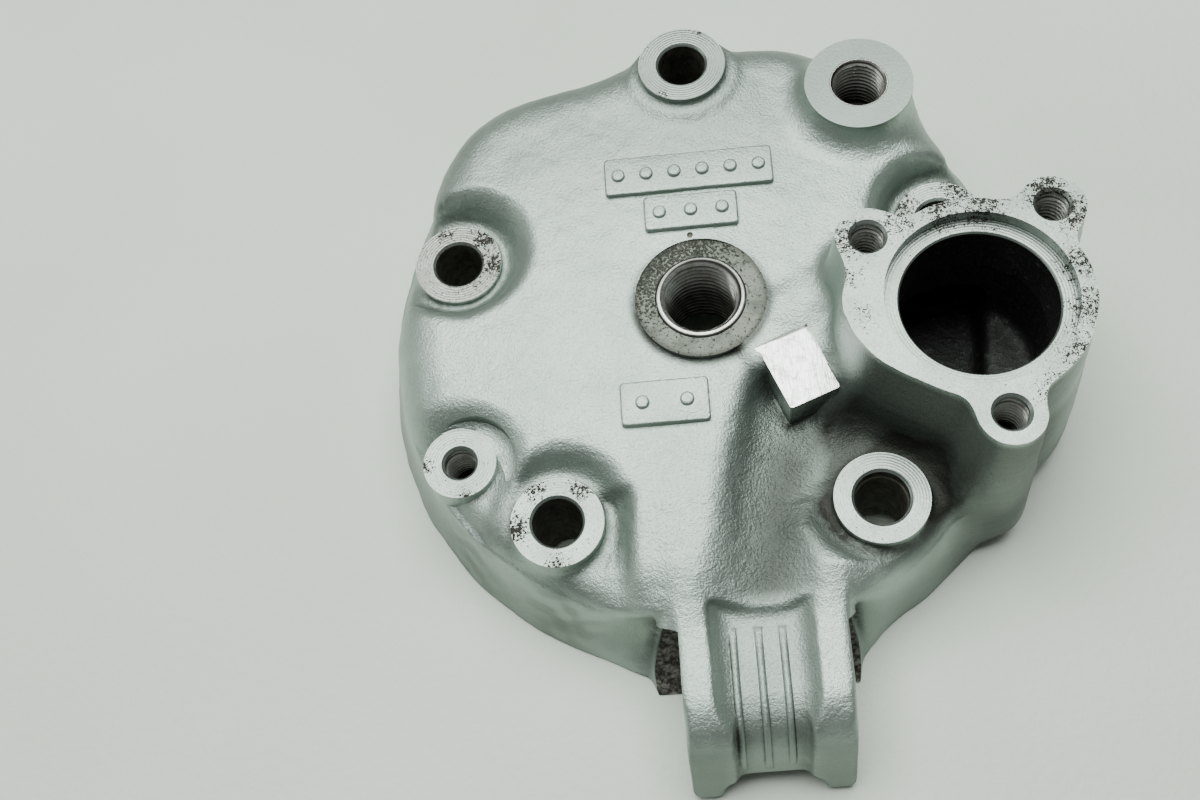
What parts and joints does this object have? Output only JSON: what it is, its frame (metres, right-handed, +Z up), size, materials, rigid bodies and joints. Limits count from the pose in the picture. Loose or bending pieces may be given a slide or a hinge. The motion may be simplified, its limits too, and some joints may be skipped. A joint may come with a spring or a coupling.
{
  "type": "cylinder head",
  "caption": "Round water-cooled two-stroke cylinder head with stud bosses, central plug hole, thermostat housing, sender port and a finned engine stay bracket.",
  "frame": {"origin": "where the spark plug axis crosses the gasket face", "axes": "+Z up out of the engine along the plug axis, +Y towards the raised stud boss, -Y towards the stay bracket, +X towards the thermostat housing"},
  "size_m": [0.1286, 0.143, 0.042],
  "materials": {
    "cast_aluminium": "satin sand-cast aluminium, machined faces bright and matt with corrosion specks",
    "thread_insert": "bright turned thread",
    "bush_steel": "turned steel sleeve"
  },
  "bodies": {
    "root": {"head_casting": "cast_aluminium", "plug_thread_insert": "thread_insert", "sender_thread_insert": "thread_insert", "cover_thread_insert_left": "thread_insert", "cover_thread_insert_right": "thread_insert", "cover_thread_insert_lower": "thread_insert", "small_boss_thread_insert": "thread_insert", "stay_bush_left": "bush_steel", "stay_bush_right": "bush_steel"}
  },
  "joints": []
}
